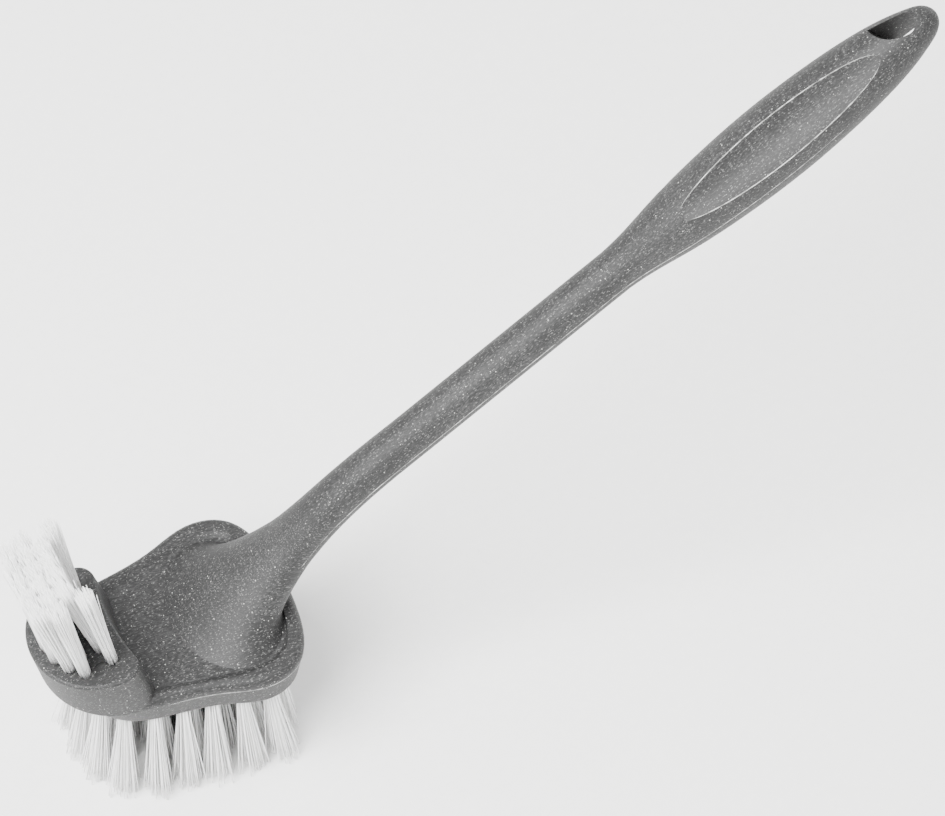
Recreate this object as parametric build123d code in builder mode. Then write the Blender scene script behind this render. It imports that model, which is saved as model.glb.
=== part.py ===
"""Washing-up scrubbing brush: one-piece handle and head, sole tufts, nose tufts and tuft anchors.

Frame: +Z up, millimetres. The head lies level with its sole tufts trimmed on z = 0 and the origin at the
centre of the bristle field. The nose points along -X, the handle rises along +X, and Y = 0 is the mid plane.
"""
import os
from math import acos, atan2, cos, degrees, radians, sin, sqrt

from build123d import *

os.makedirs("parts", exist_ok=True)

# head plate
TRIM_LENGTH = 32.0  # free length of the sole tufts
PLATE = 11.0  # thickness of the head plate
PLATE_BOTTOM = TRIM_LENGTH
PLATE_TOP = PLATE_BOTTOM + PLATE
NOSE_X = -33.0  # front of the plate at its upper face
NOSE_R = 19.6
NOSE_TURN = 60.0  # degrees of the nose arc on each side of its tip
NOSE_RAKE = 8.0  # the nose leans forward by this much over the thickness of the plate
REAR_RAKE = 2.6  # the rear leans back by this much
FLANK_DRAFT = 1.0  # the lower outline is narrower by this much on each side
FLANK = [  # x and half width from the nose arc round the shoulder to the back of the head
    (-5.0, 20.8),
    (7.0, 23.2),
    (19.0, 26.2),
    (28.6, 23.2),
    (33.2, 15.6),
    (34.8, 7.0),
]
BACK_X = 35.2
TOP_EDGE = 2.2  # rounding of the upper edge
BOTTOM_EDGE = 1.5  # rounding of the lower edge
DISH_DEPTH = 0.9  # the upper face lies this far below its bead rim
DISH_SLOPE = 1.6  # width of the sloping wall between the rim and the dish
DISH_INSET = 3.4  # width of the bead rim
DISH_FLANK = [(-4.0, 18.0), (7.0, 20.2), (18.0, 21.8), (26.2, 19.0), (29.6, 11.0)]
DISH_REAR_X = 30.6

# nose pad, its face tipped towards the nose
PAD_TILT = 6.0  # degrees
PAD_MIDDLE_X = -24.0
PAD_MIDDLE_Z = 55.2
PAD_CORNER = 4.6
PAD_FOOT = (NOSE_X + 0.3, NOSE_R - 0.3, -7.0)  # front, arc radius, rear corners at the plate
PAD_FACE = (-11.6, 18.3, 13.0)  # the same on the tipped face, measured from its middle
PAD_WAIST = 2.6  # the rear edge curves in by this much between its corners
PAD_EDGE = 0.8  # rounding of the rim of the pad face
MARK_PLACE = (3.0, -12.8)  # shallow round mark between the end tufts, measured on the pad face
MARK_R = 2.6
MARK_DEPTH = 0.4

# neck and shaft
SHAFT_R = 5.75
SLOPE = 34.6  # degrees between the head plate and the straight handle
STRAIGHT_X = 71.6
STRAIGHT_Z = 87.6
NECK_STATIONS = [  # x, z, rise in degrees, half width, half thickness
    (17.8, 41.2, 88.0, 21.4, 15.6),
    (20.2, 44.0, 81.0, 17.0, 11.4),
    (23.9, 47.4, 69.0, 13.5, 8.5),
    (28.8, 51.9, 57.0, 10.6, 6.8),
    (35.8, 58.5, 47.0, 7.8, 5.9),
    (45.6, 68.0, 42.0, 6.3, SHAFT_R),
    (56.8, 77.4, 37.4, 5.9, SHAFT_R),
    (64.0, 82.5, 35.4, 5.8, SHAFT_R),
    (STRAIGHT_X, STRAIGHT_Z, SLOPE, SHAFT_R, SHAFT_R),
]
HORN_COUNT = 5  # the first stations, where the neck flares out of the plate

# grip: radius of the straight handle at distances from the end of the neck
HANDLE_LENGTH = 175.2
GRIP_START = 66.0
GRIP_RADII = [  # distance, radius
    (86.0, 8.0),
    (105.0, 9.9),
    (121.0, 10.5),
    (138.0, 10.05),
    (151.0, 9.0),
    (161.0, 7.5),
    (169.5, 5.3),
    (174.0, 2.9),
]

# thumb recess on the upper left flank of the grip: a slender spindle sunk into the round grip
RECESS_TURN = 31.0  # degrees from straight up towards -Y
RECESS_MIDDLE = 132.2
RECESS_LENGTH = 78.0
RECESS_R = 12.0  # the hollow is cut by a spindle of this radius at its middle
RECESS_AXIS = 19.2  # and this far out from the middle of the grip
RECESS_TIP_R = 10.5

# hang hole: a slanted drop with its tip on the far side
HOLE_TIP = 159.4
HOLE_END = 171.2
HOLE_HALF = 3.1
HOLE_TIP_SIDE = 4.4

# tufts
SOLE_ROOT_R = 1.7
SOLE_TIP_R = 3.0
NOSE_ROOT_R = 1.6
NOSE_TIP_R = 2.0
NOSE_LENGTH = 37.5
HOLE_DEPTH = 6.0
FIRST_PLACE_X = -20.6  # foremost sole tuft
RIM_PLACES = [  # x and distance from the mid plane of the tufts along the edge of the sole
    (-19.8, 7.0),
    (-16.2, 13.0),
    (-9.4, 16.6),
    (-2.2, 18.0),
    (5.4, 19.0),
    (13.0, 19.8),
    (20.4, 19.6),
    (24.4, 12.6),
    (25.6, 5.2),
]
SECOND_ROW = [(-6.0, 11.4), (1.7, 12.3), (9.3, 13.0), (16.9, 13.3)]
THIRD_ROW = [(-13.8, 4.6), (-4.7, 5.4), (4.7, 5.6), (14.1, 6.2)]
MIDDLE_ROW_X = -9.4
MIDDLE_PITCH = 9.4
MIDDLE_COUNT = 4
EDGE_SPLAY = 2.2  # splay of a tuft at the edge of the bristle field
FRONT_START_X = -5.0  # in front of this the tufts splay further
FRONT_SPLAY = 2.8
FIELD_X = 27.0  # half length and half width of the bristle field
FIELD_Y = 21.0
NOSE_ARC_X = -7.0  # front row: an arc on the pad face, measured from the middle of the face
NOSE_ARC_R = 14.0
NOSE_ARC_TURN = 17.8  # degrees between its tufts
NOSE_REAR_X = 4.2
NOSE_REAR_BOW = 0.0165
NOSE_REAR_PITCH = 4.4
NOSE_MIDDLE_ROW = [(-1.2, 2.2), (-0.6, 6.6)]  # between them, on each side of the mid plane
NOSE_FRONT_TIPS = [(-9.5, 0.0), (-9.5, 5.0), (-9.2, 10.0), (-4.4, 11.4)]  # tips, from the middle outwards
NOSE_MIDDLE_TIPS = [(-5.2, 2.4), (-5.0, 6.9)]
NOSE_REAR_TIPS = [(-1.0, 2.2), (-0.8, 6.8), (3.2, 11.4)]

# anchors: flat wire pushed across the closed end of each hole
ANCHOR_T = 0.36
ANCHOR_HEIGHT = 1.8
ANCHOR_BITE = 0.3  # how far each end digs into the wall of the hole
ANCHOR_GAP = 0.2  # space between the anchor and the closed end of the hole
ANCHOR_DEPTH = HOLE_DEPTH - ANCHOR_GAP - ANCHOR_HEIGHT / 2


def sole_places():
    """Root centres of the sole tufts: a rim that follows the outline and five inner rows."""
    places = [(FIRST_PLACE_X, 0.0)]
    for side in (-1, 1):
        for x, y in RIM_PLACES + SECOND_ROW + THIRD_ROW:
            places.append((x, side * y))
    for column in range(MIDDLE_COUNT):
        places.append((MIDDLE_ROW_X + MIDDLE_PITCH * column, 0.0))
    return sorted(places)


def sole_splay(x, y):
    """How far the tip of a sole tuft stands outside its root: more near the edge, most round the nose."""
    reach = sqrt((x / FIELD_X) ** 2 + (y / FIELD_Y) ** 2)
    front = max(0.0, (x - FRONT_START_X) / (-FIELD_X - FRONT_START_X))
    outward = EDGE_SPLAY * reach**3 + FRONT_SPLAY * front
    heading = atan2(y, x)
    return outward * cos(heading), outward * sin(heading)


def nose_places():
    """Roots of the nose tufts on the pad face and how far each tip stands from its root, row by row."""
    places = []
    for side in (-1, 1):
        for step, (tip_x, tip_y) in enumerate(NOSE_FRONT_TIPS):
            turn = radians(NOSE_ARC_TURN * step)
            x = NOSE_ARC_X + NOSE_ARC_R * (1 - cos(turn))
            y = NOSE_ARC_R * sin(turn)
            if step or side == 1:
                places.append((x, side * y, tip_x - x, side * (tip_y - y)))
        for (x, y), (tip_x, tip_y) in zip(NOSE_MIDDLE_ROW, NOSE_MIDDLE_TIPS):
            places.append((x, side * y, tip_x - x, side * (tip_y - y)))
        for step, (tip_x, tip_y) in enumerate(NOSE_REAR_TIPS):
            y = NOSE_REAR_PITCH * (step + 0.5)
            x = NOSE_REAR_X + NOSE_REAR_BOW * y * y
            places.append((x, side * y, tip_x - x, side * (tip_y - y)))
    return sorted(places)


def head_outline(front, rear, draft):
    """Plan outline of the head, shortened at the front and rear and narrowed; one half, mirrored."""
    length = BACK_X - NOSE_X
    shrink = 1 - (front + rear) / length
    nose = CenterArc((NOSE_X + front + NOSE_R - draft, 0), NOSE_R - draft, 180, -NOSE_TURN)
    flank = [(NOSE_X + front + (x - NOSE_X) * shrink, half - draft) for x, half in FLANK]
    Spline(nose @ 1, *flank, (BACK_X - rear, 0), tangents=(nose % 1, (0, -1)))
    mirror(about=Plane.XZ)


def dish_outline(inset):
    """Plan outline of the dish inside the bead rim, with a plain rear under the neck."""
    nose = CenterArc((NOSE_X + NOSE_R, 0), NOSE_R - DISH_INSET - inset, 180, -90)
    flank = [(x, half - inset) for x, half in DISH_FLANK]
    Spline(nose @ 1, *flank, (DISH_REAR_X - inset, 0), tangents=((1, 0.15), (0, -1)))
    mirror(about=Plane.XZ)


def pad_outline(front_x, arc_r, rear_x):
    """Half-moon: an arc round the nose closed by a slightly hollow rear edge."""
    middle_x = front_x + arc_r
    turn = degrees(acos((middle_x - rear_x) / arc_r))
    front = CenterArc((middle_x, 0), arc_r, 180 - turn, 2 * turn)
    ThreePointArc(front @ 0, (rear_x - PAD_WAIST, 0), front @ 1)


handle_plane = Plane(
    origin=(STRAIGHT_X, 0, STRAIGHT_Z),
    x_dir=(cos(radians(SLOPE)), 0, sin(radians(SLOPE))),
    z_dir=(0, -1, 0),
)
# looking down on the handle, square to its mid plane: x along the handle, y towards +Y
top_plane = Plane(origin=handle_plane.origin, x_dir=handle_plane.x_dir, z_dir=handle_plane.y_dir)
# the two faces the tufts stand on, each with z pointing out along its tufts
sole_plane = Plane(origin=(0, 0, PLATE_BOTTOM), x_dir=(1, 0, 0), z_dir=(0, 0, -1))
pad_plane = Plane(
    origin=(PAD_MIDDLE_X, 0, PAD_MIDDLE_Z),
    x_dir=(cos(radians(PAD_TILT)), 0, sin(radians(PAD_TILT))),
    z_dir=(-sin(radians(PAD_TILT)), 0, cos(radians(PAD_TILT))),
)

with BuildPart() as handle_body:
    # plate, raked at the nose and drafted along its flanks
    with BuildSketch(Plane.XY.offset(PLATE_BOTTOM)):
        with BuildLine():
            head_outline(NOSE_RAKE, REAR_RAKE, FLANK_DRAFT)
        make_face()
    with BuildSketch(Plane.XY.offset(PLATE_TOP)):
        with BuildLine():
            head_outline(0, 0, 0)
        make_face()
    loft()
    fillet(handle_body.faces().sort_by(Axis.Z)[-1].edges(), TOP_EDGE)
    fillet(handle_body.faces().sort_by(Axis.Z)[0].edges(), BOTTOM_EDGE)
    # shallow dish with a sloping wall, leaving a bead rim
    for level, inset in ((PLATE_TOP - DISH_DEPTH, DISH_SLOPE), (PLATE_TOP + DISH_DEPTH, -DISH_SLOPE)):
        with BuildSketch(Plane.XY.offset(level)):
            with BuildLine():
                dish_outline(inset)
            make_face()
    loft(mode=Mode.SUBTRACT)
    # neck, flaring out of the plate like a horn and narrowing to the shaft
    for stations in (NECK_STATIONS[:HORN_COUNT], NECK_STATIONS[HORN_COUNT - 1 :]):
        for x, z, rise, half_width, half_thickness in stations:
            heading = (cos(radians(rise)), 0, sin(radians(rise)))
            with BuildSketch(Plane(origin=(x, 0, z), x_dir=(0, 1, 0), z_dir=heading)):
                Ellipse(half_width, half_thickness)
        loft()
    # nose pad, drafted on its rear and ends
    with BuildSketch(Plane.XY.offset(PLATE_TOP - TOP_EDGE)) as pad_foot:
        with BuildLine():
            pad_outline(*PAD_FOOT)
        make_face()
        fillet(pad_foot.vertices(), PAD_CORNER)
    with BuildSketch(pad_plane) as pad_face:
        with BuildLine():
            pad_outline(*PAD_FACE)
        make_face()
        fillet(pad_face.vertices(), PAD_CORNER)
    loft()
    pad_top = handle_body.faces().sort_by_distance(pad_plane.origin)[0]
    fillet(pad_top.edges(), PAD_EDGE)
    with BuildSketch(pad_plane):
        with Locations(MARK_PLACE):
            Circle(MARK_R)
    extrude(amount=-MARK_DEPTH, mode=Mode.SUBTRACT)
    # shaft, grip and rounded end
    with BuildSketch(handle_plane):
        with BuildLine():
            start = Line((0, 0), (0, SHAFT_R))
            shaft = Line(start @ 1, (GRIP_START, SHAFT_R))
            grip = Spline(shaft @ 1, *GRIP_RADII, (HANDLE_LENGTH, 0), tangents=((1, 0), (0, -1)))
            Line(grip @ 1, start @ 0)
        make_face()
    revolve(axis=Axis(handle_plane.origin, handle_plane.x_dir))
    # thumb recess: a shallow hollow with pointed ends on the upper left of the grip
    recess_turn = radians(RECESS_TURN)
    recess_out = handle_plane.y_dir * cos(recess_turn) + Vector(0, -1, 0) * sin(recess_turn)
    recess_middle = handle_plane.origin + handle_plane.x_dir * RECESS_MIDDLE + recess_out * RECESS_AXIS
    recess_side = handle_plane.x_dir.cross(recess_out)
    with BuildSketch(Plane(origin=recess_middle, x_dir=handle_plane.x_dir, z_dir=recess_side)):
        with BuildLine():
            half_length = RECESS_LENGTH / 2
            skin = ThreePointArc((-half_length, RECESS_TIP_R), (0, RECESS_R), (half_length, RECESS_TIP_R))
            Polyline(skin @ 1, (half_length, 0), (-half_length, 0), skin @ 0)
        make_face()
    revolve(axis=Axis(recess_middle, handle_plane.x_dir), mode=Mode.SUBTRACT)
    # drop-shaped hole to hang the brush by
    with BuildSketch(top_plane):
        with BuildLine():
            round_end = CenterArc((HOLE_END - HOLE_HALF, 0), HOLE_HALF, -90, 180)
            Line(round_end @ 1, (HOLE_TIP, HOLE_TIP_SIDE))
            Spline((HOLE_TIP, HOLE_TIP_SIDE), round_end @ 0, tangents=((0.3, -1), (1, 0)))
        make_face()
    extrude(amount=2 * PLATE, both=True, mode=Mode.SUBTRACT)
    # blind holes for the tufts
    with BuildSketch(sole_plane):
        with Locations(*sole_places()):
            Circle(SOLE_ROOT_R)
    extrude(amount=-HOLE_DEPTH, mode=Mode.SUBTRACT)
    with BuildSketch(pad_plane):
        with Locations(*[(x, y) for x, y, lean_x, lean_y in nose_places()]):
            Circle(NOSE_ROOT_R)
    extrude(amount=-HOLE_DEPTH, mode=Mode.SUBTRACT)
    # notches that the anchor ends have bitten into the walls
    with Locations(sole_plane):
        with Locations(*[(x, y, -ANCHOR_DEPTH) for x, y in sole_places()]):
            Box(ANCHOR_T, 2 * (SOLE_ROOT_R + ANCHOR_BITE), ANCHOR_HEIGHT, mode=Mode.SUBTRACT)
    with Locations(pad_plane):
        with Locations(*[(x, y, -ANCHOR_DEPTH) for x, y, lean_x, lean_y in nose_places()]):
            Box(ANCHOR_T, 2 * (NOSE_ROOT_R + ANCHOR_BITE), ANCHOR_HEIGHT, mode=Mode.SUBTRACT)

handle_body.part.label = "handle_body"
export_step(handle_body.part, "parts/handle_body.step")


def tuft(base, x, y, length, root_r, tip_r, lean_x, lean_y):
    """One tuft: a folded root round its anchor, then a flared bundle cut level at its free end."""
    with BuildPart() as bundle:
        with BuildSketch(base):
            with Locations((x, y)):
                Circle(root_r)
        with BuildSketch(base.offset(length)):
            with Locations((x + lean_x, y + lean_y)):
                Circle(tip_r)
        loft()
        with BuildSketch(base):
            with Locations((x, y)):
                Circle(root_r)
        extrude(amount=-HOLE_DEPTH)
        with Locations(base):
            with Locations((x, y, -ANCHOR_DEPTH)):
                Box(ANCHOR_T, 3 * root_r, ANCHOR_HEIGHT, mode=Mode.SUBTRACT)
    return bundle


for number, (x, y) in enumerate(sole_places(), start=1):
    splay_x, splay_y = sole_splay(x, y)
    sole_tuft = tuft(sole_plane, x, y, TRIM_LENGTH, SOLE_ROOT_R, SOLE_TIP_R, splay_x, splay_y)
    name = f"sole_tuft_{number:02d}"
    sole_tuft.part.label = name
    export_step(sole_tuft.part, f"parts/{name}.step")

for number, (x, y, lean_x, lean_y) in enumerate(nose_places(), start=1):
    nose_tuft = tuft(pad_plane, x, y, NOSE_LENGTH, NOSE_ROOT_R, NOSE_TIP_R, lean_x, lean_y)
    name = f"nose_tuft_{number:02d}"
    nose_tuft.part.label = name
    export_step(nose_tuft.part, f"parts/{name}.step")

with BuildPart() as sole_anchors:
    with Locations(sole_plane):
        with Locations(*[(x, y, -ANCHOR_DEPTH) for x, y in sole_places()]):
            Box(ANCHOR_T, 2 * (SOLE_ROOT_R + ANCHOR_BITE), ANCHOR_HEIGHT)
sole_anchors.part.label = "sole_anchors"
export_step(sole_anchors.part, "parts/sole_anchors.step")

with BuildPart() as nose_anchors:
    with Locations(pad_plane):
        with Locations(*[(x, y, -ANCHOR_DEPTH) for x, y, lean_x, lean_y in nose_places()]):
            Box(ANCHOR_T, 2 * (NOSE_ROOT_R + ANCHOR_BITE), ANCHOR_HEIGHT)
nose_anchors.part.label = "nose_anchors"
export_step(nose_anchors.part, "parts/nose_anchors.step")
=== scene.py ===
from math import cos, pi, radians, sin

import bpy
import numpy as np
from mathutils import Matrix, Vector
from mathutils.bvhtree import BVHTree


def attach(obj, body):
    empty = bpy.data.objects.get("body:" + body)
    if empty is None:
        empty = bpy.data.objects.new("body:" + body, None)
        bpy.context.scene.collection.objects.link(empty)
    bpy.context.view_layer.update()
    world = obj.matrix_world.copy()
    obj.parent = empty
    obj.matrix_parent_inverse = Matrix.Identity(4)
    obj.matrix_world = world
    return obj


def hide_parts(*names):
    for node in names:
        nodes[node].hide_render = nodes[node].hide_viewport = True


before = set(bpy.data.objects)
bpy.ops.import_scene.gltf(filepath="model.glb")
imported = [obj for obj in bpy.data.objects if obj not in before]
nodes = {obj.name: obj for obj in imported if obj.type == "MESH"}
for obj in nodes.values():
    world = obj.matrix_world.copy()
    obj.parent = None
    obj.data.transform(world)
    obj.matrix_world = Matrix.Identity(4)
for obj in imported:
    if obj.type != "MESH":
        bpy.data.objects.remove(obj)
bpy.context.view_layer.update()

MM = 0.001
body = nodes["handle_body"]

# the brush, in millimetres
PLATE_TOP = 43.0
PAD_TILT = radians(6.0)  # the nose pad is tipped this far towards the nose
SOLE_FREE = 32.0  # free lengths of the tufts
NOSE_FREE = 37.5
SOLE_ROOT_R = 1.7  # radii of a bundle where it leaves its hole and at its free end
SOLE_TIP_R = 3.7
NOSE_ROOT_R = 1.6
NOSE_TIP_R = 2.35
SOLE_SEED = 100  # each tuft draws its filaments from its own seed, counted from these
NOSE_SEED = 500
SLOPE = radians(34.6)  # the straight handle climbs at this angle
STRAIGHT = Vector((71.6, 0.0, 87.6))  # where it starts
RECESS_TURN = radians(31.0)  # the thumb recess faces this far from straight up, towards -Y
RECESS_MIDDLE = 132.2  # distance of its middle along the straight handle
RECESS_HALF = 39.0
RECESS_AXIS = 19.2  # axis of the spindle that hollows it, out from the middle of the grip
RECESS_R = 12.0
RECESS_TIP_R = 10.5
RECESS_EDGE_R = 0.12

ALONG = Vector((cos(SLOPE), 0.0, sin(SLOPE)))
UP = Vector((-sin(SLOPE), 0.0, cos(SLOPE)))
SIDE = Vector((0.0, 1.0, 0.0))


# ---------------------------------------------------------------- materials


def colour(hex_value):
    """sRGB hex to linear RGBA."""
    channels = [int(hex_value[i : i + 2], 16) / 255 for i in (1, 3, 5)]
    linear = [c / 12.92 if c <= 0.04045 else ((c + 0.055) / 1.055) ** 2.4 for c in channels]
    return (*linear, 1.0)


def add(tree, kind, settings=(), inputs=()):
    """Adds a node with its settings and inputs; stops are the (position, hex colour) pairs of a colour ramp."""
    node = tree.nodes.new("ShaderNode" + kind)
    for name, value in dict(settings).items():
        if name == "stops":
            elements = node.color_ramp.elements
            while len(elements) < len(value):
                elements.new(0.5)
            for element, (position, hex_value) in zip(elements, value):
                element.position = position
                element.color = colour(hex_value)
        else:
            setattr(node, name, value)
    for name, value in dict(inputs).items():
        if isinstance(value, bpy.types.NodeSocket):
            tree.links.new(value, node.inputs[name])
        else:
            node.inputs[name].default_value = colour(value) if isinstance(value, str) else value
    return node


def new_material(name, **constants):
    """A material with a principled shader whose constant sockets are set here."""
    material = bpy.data.materials.new(name)
    material.use_nodes = True
    tree = material.node_tree
    shader = tree.nodes["Principled BSDF"]
    for socket, value in constants.items():
        shader.inputs[socket.replace("_", " ")].default_value = value
    return material, tree, shader


def flecks(tree, vector, cell_mm, size, share):
    """Scattered specks, one in each cell and kept in a share of the cells; size is their radius in cells."""
    cells = add(tree, "TexVoronoi", {"feature": "F1"}, {"Vector": vector, "Scale": 1 / (cell_mm * MM)})
    chance = add(tree, "SeparateColor", {}, {"Color": cells.outputs["Color"]}).outputs["Red"]
    kept = add(tree, "Math", {"operation": "LESS_THAN"}, {0: chance, 1: share}).outputs[0]
    edge = add(
        tree,
        "MapRange",
        {"interpolation_type": "SMOOTHSTEP"},
        {
            "Value": cells.outputs["Distance"],
            "From Min": size,
            "From Max": size * 0.5,
            "To Min": 0.0,
            "To Max": 1.0,
        },
    ).outputs["Result"]
    return add(tree, "Math", {"operation": "MULTIPLY"}, {0: kept, 1: edge}).outputs[0]


BASE_DARK = "#0c0c0c"
BASE_MIDDLE = "#1f1f1f"
BASE_LIGHT = "#424242"


def fibre_filled_polypropylene():
    """Injection-moulded polypropylene filled with ground plant fibre: a mid-grey satin skin in which pale
    fibre ends show as flecks, drawn out into short streaks where the melt flowed along the part."""
    material, tree, shader = new_material("fibre_filled_polypropylene_moulded", IOR=1.49)
    place = add(tree, "TexCoord").outputs["Object"]
    height = add(tree, "SeparateXYZ", {}, {"Vector": place}).outputs["Z"]
    on_handle = add(
        tree, "MapRange", {}, {"Value": height, "From Min": 52 * MM, "From Max": 70 * MM}
    ).outputs["Result"]
    # the melt flowed along the head, then up the slope of the handle
    flow_head = add(tree, "Mapping", {}, {"Vector": place, "Scale": (0.3, 1.0, 1.0)}).outputs[0]
    turned = add(tree, "Mapping", {}, {"Vector": place, "Rotation": (0.0, SLOPE, 0.0)}).outputs[0]
    flow_handle = add(tree, "Mapping", {}, {"Vector": turned, "Scale": (0.3, 1.0, 1.0)}).outputs[0]
    flow = add(
        tree, "Mix", {"data_type": "VECTOR"}, {0: on_handle, 4: flow_head, 5: flow_handle}
    ).outputs[1]
    # mottle of the filler, about 0.3 mm, over slow clouds of about 12 mm
    mottle = add(
        tree,
        "TexNoise",
        {},
        {"Vector": flow, "Scale": 1 / (0.35 * MM), "Detail": 3.0, "Roughness": 0.8},
    )
    clouds = add(tree, "TexNoise", {}, {"Vector": place, "Scale": 1 / (12 * MM), "Detail": 2.0})
    tone = add(
        tree,
        "Math",
        {"operation": "MULTIPLY_ADD"},
        {0: clouds.outputs["Fac"], 1: 0.2, 2: mottle.outputs["Fac"]},
    ).outputs[0]
    stops = [(0.42, BASE_DARK), (0.6, BASE_MIDDLE), (0.78, BASE_LIGHT)]
    base = add(tree, "ValToRGB", {"stops": stops}, {"Fac": tone}).outputs["Color"]
    # fibre ends: streaks where the melt flowed, specks of 0.2 mm everywhere and a few bright ones of 0.35 mm
    streaks = flecks(tree, flow, 0.36, 0.36, 0.4)
    fine = flecks(tree, place, 0.34, 0.32, 0.16)
    large = flecks(tree, place, 1.1, 0.15, 0.2)
    skin = add(tree, "Mix", {"data_type": "RGBA"}, {0: streaks, 6: base, 7: "#626261"}).outputs[2]
    skin = add(tree, "Mix", {"data_type": "RGBA"}, {0: fine, 6: skin, 7: "#868684"}).outputs[2]
    skin = add(tree, "Mix", {"data_type": "RGBA"}, {0: large, 6: skin, 7: "#d0d0cc"}).outputs[2]
    tree.links.new(skin, shader.inputs["Base Color"])
    rough = add(
        tree, "MapRange", {}, {"Value": mottle.outputs["Fac"], "To Min": 0.5, "To Max": 0.68}
    ).outputs["Result"]
    tree.links.new(rough, shader.inputs["Roughness"])
    # the skin shrinks slightly round the filler, a few hundredths of a millimetre
    relief = add(
        tree, "Bump", {}, {"Strength": 0.6, "Distance": 0.08 * MM, "Height": mottle.outputs["Fac"]}
    ).outputs["Normal"]
    tree.links.new(relief, shader.inputs["Normal"])
    return material


def edge_with_painted_highlight():
    """The same moulding along the parting lines and the recess edges: a thin, glossier line, made paler as a
    painted highlight of light catching the edge.
    """
    material, tree, shader = new_material("fibre_filled_polypropylene_painted_edge_highlight", IOR=1.49)
    place = add(tree, "TexCoord").outputs["Object"]
    highlight_breaks = add(tree, "TexNoise", {}, {"Vector": place, "Scale": 1 / (2.5 * MM), "Detail": 3.0})
    # the pale stops are a painted highlight on the edge; the darkest stop, near the body colour, breaks the
    # painted highlight up along the line
    stops = [(0.3, "#4a4a49"), (0.45, "#949492"), (0.65, "#dcdcda")]
    skin = add(tree, "ValToRGB", {"stops": stops}, {"Fac": highlight_breaks.outputs["Fac"]}).outputs["Color"]
    tree.links.new(skin, shader.inputs["Base Color"])
    rough = add(
        tree, "MapRange", {}, {"Value": highlight_breaks.outputs["Fac"], "To Min": 0.22, "To Max": 0.4}
    ).outputs["Result"]
    tree.links.new(rough, shader.inputs["Roughness"])
    return material


def drawn_filament(name, light, dark, rough_low, rough_high, spread_mm):
    """Extruded and drawn thermoplastic bristle, white and slightly see-through."""
    material, tree, shader = new_material(name, IOR=1.57, Subsurface_Weight=0.2, Subsurface_Scale=0.4 * MM)
    shader.inputs["Subsurface Radius"].default_value = (1.0, 1.0, 1.0)
    place = add(tree, "TexCoord").outputs["Object"]
    along = add(tree, "Mapping", {}, {"Vector": place, "Scale": (1.0, 1.0, 0.08)}).outputs[0]
    strand = add(tree, "TexNoise", {}, {"Vector": along, "Scale": 1 / (spread_mm * MM), "Detail": 1.0})
    single = add(tree, "NewGeometry").outputs["Random Per Island"]
    tone = add(
        tree, "Math", {"operation": "MULTIPLY_ADD"}, {0: single, 1: 0.5, 2: strand.outputs["Fac"]}
    ).outputs[0]
    stops = [(0.45, dark), (0.95, light)]
    skin = add(tree, "ValToRGB", {"stops": stops}, {"Fac": tone}).outputs["Color"]
    tree.links.new(skin, shader.inputs["Base Color"])
    rough = add(
        tree, "MapRange", {}, {"Value": single, "To Min": rough_low, "To Max": rough_high}
    ).outputs["Result"]
    tree.links.new(rough, shader.inputs["Roughness"])
    return material


def drawn_wire():
    """Flat galvanised steel wire, drawn and cut: bright grey with fine lines along it."""
    material, tree, shader = new_material("steel_wire_drawn", Metallic=1.0)
    place = add(tree, "TexCoord").outputs["Object"]
    lines = add(tree, "Mapping", {}, {"Vector": place, "Scale": (1.0, 0.1, 1.0)}).outputs[0]
    grain = add(tree, "TexNoise", {}, {"Vector": lines, "Scale": 1 / (0.1 * MM), "Detail": 2.0})
    stops = [(0.3, "#8f8b84"), (0.7, "#c2beb6")]
    skin = add(tree, "ValToRGB", {"stops": stops}, {"Fac": grain.outputs["Fac"]}).outputs["Color"]
    tree.links.new(skin, shader.inputs["Base Color"])
    rough = add(
        tree, "MapRange", {}, {"Value": grain.outputs["Fac"], "To Min": 0.25, "To Max": 0.45}
    ).outputs["Result"]
    tree.links.new(rough, shader.inputs["Roughness"])
    return material


composite = fibre_filled_polypropylene()
edge_highlight_skin = edge_with_painted_highlight()
# polyester bristles of the sole, about 0.3 mm thick, stiff and glossy
sole_filament = drawn_filament("polyester_filament_stiff", "#ffffff", "#e4e4e2", 0.25, 0.4, 0.7)
# finer and softer nylon bristles of the nose, about 0.2 mm thick
nose_filament = drawn_filament("nylon_filament_soft", "#ffffff", "#ececea", 0.35, 0.5, 0.5)
wire = drawn_wire()

for name, material in (("handle_body", composite), ("sole_anchors", wire), ("nose_anchors", wire)):
    mesh = nodes[name].data
    mesh.materials.clear()
    mesh.materials.append(material)


# ---------------------------------------------------------------- mesh helpers


def new_piece(name, points, faces, material):
    """A smooth-shaded mesh piece that rides on the brush."""
    mesh = bpy.data.meshes.new(name)
    mesh.from_pydata(points, [], faces)
    mesh.polygons.foreach_set("use_smooth", [True] * len(mesh.polygons))
    mesh.materials.append(material)
    mesh.update()
    piece = bpy.data.objects.new(name, mesh)
    bpy.context.scene.collection.objects.link(piece)
    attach(piece, "root")
    return piece


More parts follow.
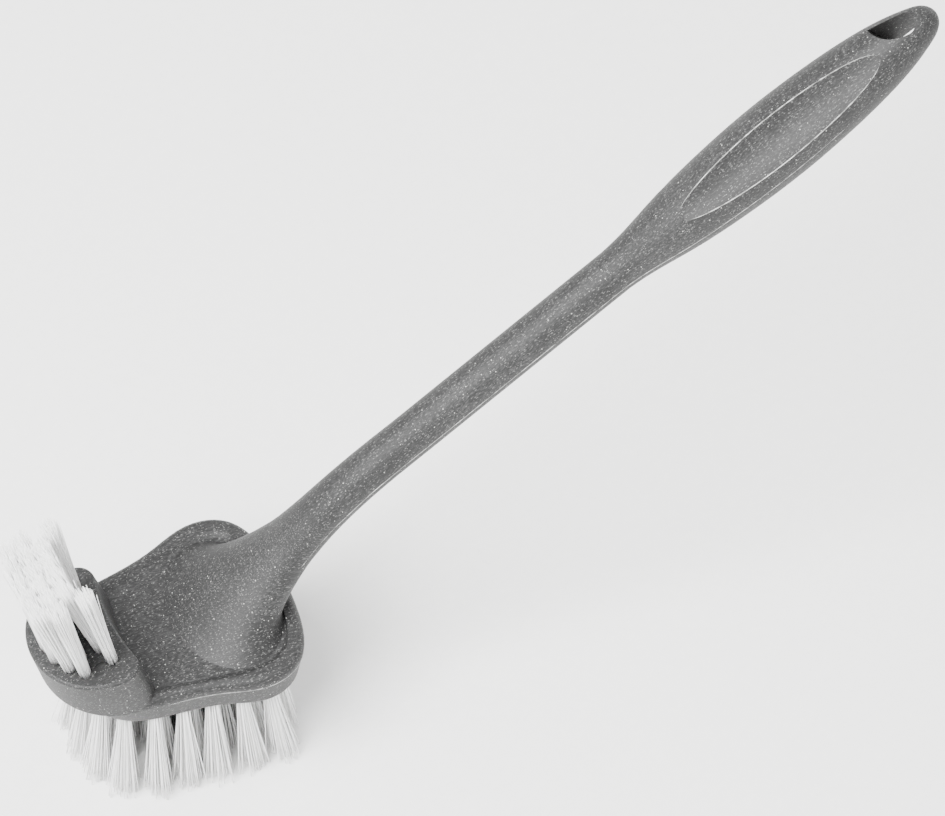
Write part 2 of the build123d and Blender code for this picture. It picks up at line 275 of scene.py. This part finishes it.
def tubes(paths, radii, sides):
    """Closed round tubes along many paths at once: paths is (count, steps, 3), radii is (count, steps)."""
    count, steps, _ = paths.shape
    heading = np.gradient(paths, axis=1)
    heading /= np.linalg.norm(heading, axis=2, keepdims=True)
    helper = np.where(np.abs(heading[..., 1:2]) < 0.9, [[[0.0, 1.0, 0.0]]], [[[1.0, 0.0, 0.0]]])
    across = np.cross(heading, helper)
    across /= np.linalg.norm(across, axis=2, keepdims=True)
    over = np.cross(heading, across)
    turn = np.arange(sides) * (2 * pi / sides)
    ring = (
        across[:, :, None, :] * np.cos(turn)[None, None, :, None]
        + over[:, :, None, :] * np.sin(turn)[None, None, :, None]
    )
    points = paths[:, :, None, :] + ring * radii[:, :, None, None]
    points = points.reshape(-1, 3)
    faces = []
    for tube in range(count):
        first = tube * steps * sides
        for step in range(steps - 1):
            low = first + step * sides
            high = low + sides
            for side in range(sides):
                after = (side + 1) % sides
                faces.append((low + side, low + after, high + after, high + side))
        faces.append(tuple(first + side for side in reversed(range(sides))))
        last = first + (steps - 1) * sides
        faces.append(tuple(last + side for side in range(sides)))
    return points, faces


# ---------------------------------------------------------------- tufts


def ring_centre(mesh_points, height, level):
    """Middle of the mesh points that lie at this level."""
    ring = mesh_points[np.abs(height - level) < LEVEL_BAND]
    return (ring.min(axis=0) + ring.max(axis=0)) / 2


LEVEL_BAND = 0.05 * MM  # points this near a level count as lying on it
GOLDEN_TURN = pi * (3 - 5**0.5)  # turn from one filament to the next that fills a disc evenly
TURN_SHUFFLE = 0.25
SHARE_SHUFFLE = 0.05
STRAY_SPREAD = (0.15, 0.5)  # how much further a stray filament stands out
SHORT_SHARE = 0.08  # share of the filaments that were cut short
SHORTEST = 1.5  # by up to this many times the usual unevenness
THICKNESS_SPREAD = (0.85, 1.1)
END_SHARE = 0.8  # thickness of a filament at its cut end


def tuft(name, outward, free, root_r, tip_r, look, seed):
    """A bundle of single filaments in place of the plain CAD tuft, rooted in the same hole."""
    rng = np.random.default_rng(seed)
    mesh_points = np.array([v.co for v in nodes[name].data.vertices])
    height = mesh_points @ outward
    top = height.max()
    tip = ring_centre(mesh_points, height, top)
    root = ring_centre(mesh_points, height, top - free * MM)
    across = np.cross(outward, [0.0, 1.0, 0.0])
    over = np.cross(outward, across)
    count = look["count"]
    steps = look["steps"]
    # even filling of the round bundle, slightly shuffled
    share = np.sqrt((np.arange(count) + 0.5) / count)
    turn = np.arange(count) * GOLDEN_TURN + rng.normal(0, TURN_SHUFFLE, count)
    share = np.clip(share + rng.normal(0, SHARE_SHUFFLE, count), 0, 1)
    disc = np.stack([np.cos(turn) * share, np.sin(turn) * share], axis=1)
    spread = 1 + rng.normal(0, look["unruly"], (count, 1)) + look["flare"] * share[:, None] ** 3
    stray = (rng.random((count, 1)) < look["stray_share"]) * rng.uniform(*STRAY_SPREAD, (count, 1))
    tip_disc = disc * (spread + stray) * tip_r + rng.normal(0, look["jitter_mm"], (count, 2))
    root_disc = disc * (root_r - look["radius_mm"])
    shorter = rng.uniform(0, look["uneven_mm"], count) + look["dome_mm"] * share**2
    shorter += (rng.random(count) < SHORT_SHARE) * rng.uniform(0, SHORTEST * look["uneven_mm"], count)
    along = np.linspace(0, 1, steps)[None, :, None]
    # the filaments leave the hole side by side and open out along a slight curve
    opening = along ** look["curve"]
    planar = root_disc[:, None, :] * (1 - opening) + tip_disc[:, None, :] * opening
    wave = rng.normal(0, look["wave_mm"], (count, 1, 2)) * np.sin(along * pi)
    planar = planar + wave
    lengths = (1 - shorter / free)[:, None, None]
    centre = root + (tip - root) * (along * lengths)
    plane = planar[..., 0:1] * across + planar[..., 1:2] * over
    paths = centre + plane * MM
    paths[:, 0] -= outward * look["rooted_mm"] * MM
    radii = np.full((count, steps), look["radius_mm"] * MM) * rng.uniform(*THICKNESS_SPREAD, (count, 1))
    radii[:, -1] *= END_SHARE
    points, faces = tubes(paths, radii, look["sides"])
    piece = new_piece(name + "_filaments", points, faces, look["material"])
    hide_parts(name)
    return piece


SOLE_LOOK = {
    "count": 72,
    "steps": 6,
    "sides": 5,
    "radius_mm": 0.16,
    "unruly": 0.09,
    "flare": 0.12,
    "stray_share": 0.07,
    "jitter_mm": 0.12,
    "uneven_mm": 0.9,
    "dome_mm": 0.2,
    "curve": 1.15,
    "wave_mm": 0.1,
    "rooted_mm": 1.0,
    "material": sole_filament,
    "slot": "sole_filament",
}
NOSE_LOOK = {
    "count": 130,
    "steps": 6,
    "sides": 4,
    "radius_mm": 0.1,
    "unruly": 0.05,
    "flare": 0.08,
    "stray_share": 0.03,
    "jitter_mm": 0.12,
    "uneven_mm": 0.5,
    "dome_mm": 0.5,
    "curve": 1.3,
    "wave_mm": 0.08,
    "rooted_mm": 1.0,
    "material": nose_filament,
    "slot": "nose_filament",
}
down = np.array([0.0, 0.0, -1.0])
pad_out = np.array([-sin(PAD_TILT), 0.0, cos(PAD_TILT)])
sole_names = sorted(name for name in nodes if name.startswith("sole_tuft"))
nose_names = sorted(name for name in nodes if name.startswith("nose_tuft"))
for number, name in enumerate(sole_names):
    tuft(name, down, SOLE_FREE, SOLE_ROOT_R, SOLE_TIP_R, SOLE_LOOK, SOLE_SEED + number)
for number, name in enumerate(nose_names):
    tuft(name, pad_out, NOSE_FREE, NOSE_ROOT_R, NOSE_TIP_R, NOSE_LOOK, NOSE_SEED + number)


# ---------------------------------------------------------------- moulding lines and recess edge

surface = BVHTree.FromObject(body, bpy.context.evaluated_depsgraph_get())


def hit(start_mm, towards):
    """Where a ray from this point meets the moulding, in millimetres, or None."""
    place = surface.ray_cast(start_mm * MM, towards.normalized())[0]
    return None if place is None else place / MM


FADE_SHARE = 0.12  # share of a line over which it fades out at each end
FADE_TO = 0.1


def bead(name, line, radius_mm):
    """A fine raised line along points of the surface, in millimetres, that fades out at both ends."""
    path = np.array([point * MM for point in line])
    share = np.linspace(0, 1, len(path))
    fade = np.clip(np.minimum(share, 1 - share) / FADE_SHARE, FADE_TO, 1)
    radii = radius_mm * MM * fade
    points, faces = tubes(path[None], radii[None], 6)
    # the line is a real raised edge; its paler material is a painted highlight where light catches it
    return new_piece(name, points, faces, edge_highlight_skin)


NECK_LINE = [(31.0, 54.0), (35.8, 58.5), (45.6, 68.0), (56.8, 77.4), (64.0, 82.5), (71.6, 87.6)]
PARTING_END = 152.0  # the parting line runs along the handle up to the hang hole
LINE_R = 0.1
LINE_SINK = 0.04  # the line is set this far into the surface
LINE_STEP = 2.0
HANDLE_RAY = 40.0  # rays start this far out, clear of the surface they look for
HEAD_RAY = 60.0
RECESS_RAY = 30.0
for side_name, side in (("near", -1.0), ("far", 1.0)):
    line = []
    for (x0, z0), (x1, z1) in zip(NECK_LINE, NECK_LINE[1:]):
        for part in range(4):
            line.append(Vector((x0 + (x1 - x0) * part / 4, 0.0, z0 + (z1 - z0) * part / 4)))
    line += [STRAIGHT + ALONG * distance for distance in np.arange(0.0, PARTING_END, LINE_STEP)]
    found = [hit(point + SIDE * side * HANDLE_RAY, SIDE * -side) for point in line]
    bead(f"parting_line_handle_{side_name}", [p - SIDE * side * LINE_SINK for p in found if p], LINE_R)

# round the rear and flanks of the head, a little under its rim
HEAD_LINE_Z = PLATE_TOP - 3.1
HEAD_LINE_MIDDLE = Vector((4.0, 0.0, HEAD_LINE_Z))
HEAD_LINE_STEPS = 66  # of two degrees each, on either side of the rear
line = []
for step in range(-HEAD_LINE_STEPS, HEAD_LINE_STEPS + 1):
    turn = radians(2.0 * step)
    outward = Vector((cos(turn), sin(turn), 0.0))
    place = hit(HEAD_LINE_MIDDLE + outward * HEAD_RAY, -outward)
    if place:
        line.append(place - outward * LINE_SINK)
bead("parting_line_head", line, LINE_R)

# crisp edge of the thumb recess: where the round grip meets the spindle-shaped hollow
recess_out = UP * cos(RECESS_TURN) - SIDE * sin(RECESS_TURN)
recess_across = ALONG.cross(recess_out)
sagitta = RECESS_R - RECESS_TIP_R
arc_r = (RECESS_HALF**2 + sagitta**2) / (2 * sagitta)
edges = {1: [], -1: []}
for offset in np.arange(-RECESS_HALF, RECESS_HALF + 0.1, 0.5):
    middle = STRAIGHT + ALONG * (RECESS_MIDDLE + offset)
    below = hit(middle - recess_out * RECESS_RAY, recess_out)
    if below is None:
        continue
    grip_r = (below - middle).length
    hollow_r = RECESS_R - arc_r + (arc_r**2 - offset**2) ** 0.5
    share = (grip_r**2 + RECESS_AXIS**2 - hollow_r**2) / (2 * grip_r * RECESS_AXIS)
    if share < 1:
        for side in edges:
            edges[side].append(
                middle + recess_out * grip_r * share + recess_across * side * grip_r * (1 - share**2) ** 0.5
            )
bead("thumb_recess_edge_upper", edges[1], RECESS_EDGE_R)
bead("thumb_recess_edge_lower", edges[-1], RECESS_EDGE_R)


# ---------------------------------------------------------------- floor, light and camera


def matte_floor():
    """Pale painted board: matt, with a trace of roller texture."""
    material, tree, shader = new_material("painted_board_matt", IOR=1.45, Roughness=0.9)
    place = add(tree, "TexCoord").outputs["Object"]
    grain = add(tree, "TexNoise", {}, {"Vector": place, "Scale": 1 / (3 * MM), "Detail": 2.0})
    stops = [(0.3, "#fbfbfa"), (0.7, "#fefefd")]
    skin = add(tree, "ValToRGB", {"stops": stops}, {"Fac": grain.outputs["Fac"]}).outputs["Color"]
    tree.links.new(skin, shader.inputs["Base Color"])
    return material


FLOOR_HALF = 12.0  # metres
FLOOR_GAP = 0.2 * MM  # keeps the floor clear of the bristle ends
floor_mesh = bpy.data.meshes.new("floor")
corners = [(x * FLOOR_HALF, y * FLOOR_HALF, 0) for x, y in ((-1, -1), (1, -1), (1, 1), (-1, 1))]
floor_mesh.from_pydata(corners, [], [(0, 1, 2, 3)])
floor_mesh.materials.append(matte_floor())
floor = bpy.data.objects.new("floor", floor_mesh)
floor.location.z = -FLOOR_GAP
bpy.context.scene.collection.objects.link(floor)


def softbox(name, place, aim, size, watts):
    """A large square area light that the camera doesn't see."""
    light = bpy.data.lights.new(name, "AREA")
    light.shape = "SQUARE"
    light.size = size
    light.energy = watts
    lamp = bpy.data.objects.new(name, light)
    lamp.location = place
    lamp.rotation_mode = "QUATERNION"
    lamp.rotation_quaternion = (Vector(aim) - Vector(place)).to_track_quat("-Z", "Y")
    lamp.visible_camera = False
    bpy.context.scene.collection.objects.link(lamp)


AIM = (0.09, 0.0, 0.06)
softbox("key_softbox", (-0.66, -0.2, 1.22), AIM, 0.9, 68.0)
softbox("fill_softbox", (0.9, -1.1, 0.7), AIM, 0.8, 3.0)
softbox("back_softbox", (1.4, 0.9, 0.6), AIM, 0.8, 12.0)

world = bpy.data.worlds.new("studio")
bpy.context.scene.world = world
world.use_nodes = True
world.node_tree.nodes["Background"].inputs["Color"].default_value = colour("#ffffff")
world.node_tree.nodes["Background"].inputs["Strength"].default_value = 1.2

# a long lens, so that the view is close to parallel
AZIMUTH = radians(-22.865)
ELEVATION = radians(57.748)
ROLL = radians(-1.824)
DISTANCE = 5.0
VIEW_WIDTH = 0.23822  # width of the view at the brush
VIEW_MIDDLE = Vector((0.0948, 0.0, 0.085))
MIDDLE_RIGHT = 0.00679  # that point lies this far right of and above the middle of the view
MIDDLE_UP = 0.00084
SENSOR = 36.0
right = Vector((cos(AZIMUTH), sin(AZIMUTH), 0.0))
up = Vector((-sin(AZIMUTH) * sin(ELEVATION), cos(AZIMUTH) * sin(ELEVATION), cos(ELEVATION)))
back = Vector((sin(AZIMUTH) * cos(ELEVATION), -cos(AZIMUTH) * cos(ELEVATION), sin(ELEVATION)))
view_right = right * cos(ROLL) + up * sin(ROLL)
view_up = -right * sin(ROLL) + up * cos(ROLL)
camera_data = bpy.data.cameras.new("camera")
camera_data.sensor_width = SENSOR
camera_data.lens = SENSOR * DISTANCE / VIEW_WIDTH
camera_data.clip_start = 0.1
camera_data.clip_end = 50.0
camera = bpy.data.objects.new("camera", camera_data)
place = VIEW_MIDDLE - view_right * MIDDLE_RIGHT - view_up * MIDDLE_UP + back * DISTANCE
camera.matrix_world = Matrix((view_right, view_up, back)).transposed().to_4x4()
camera.location = place
bpy.context.scene.collection.objects.link(camera)
bpy.context.scene.camera = camera
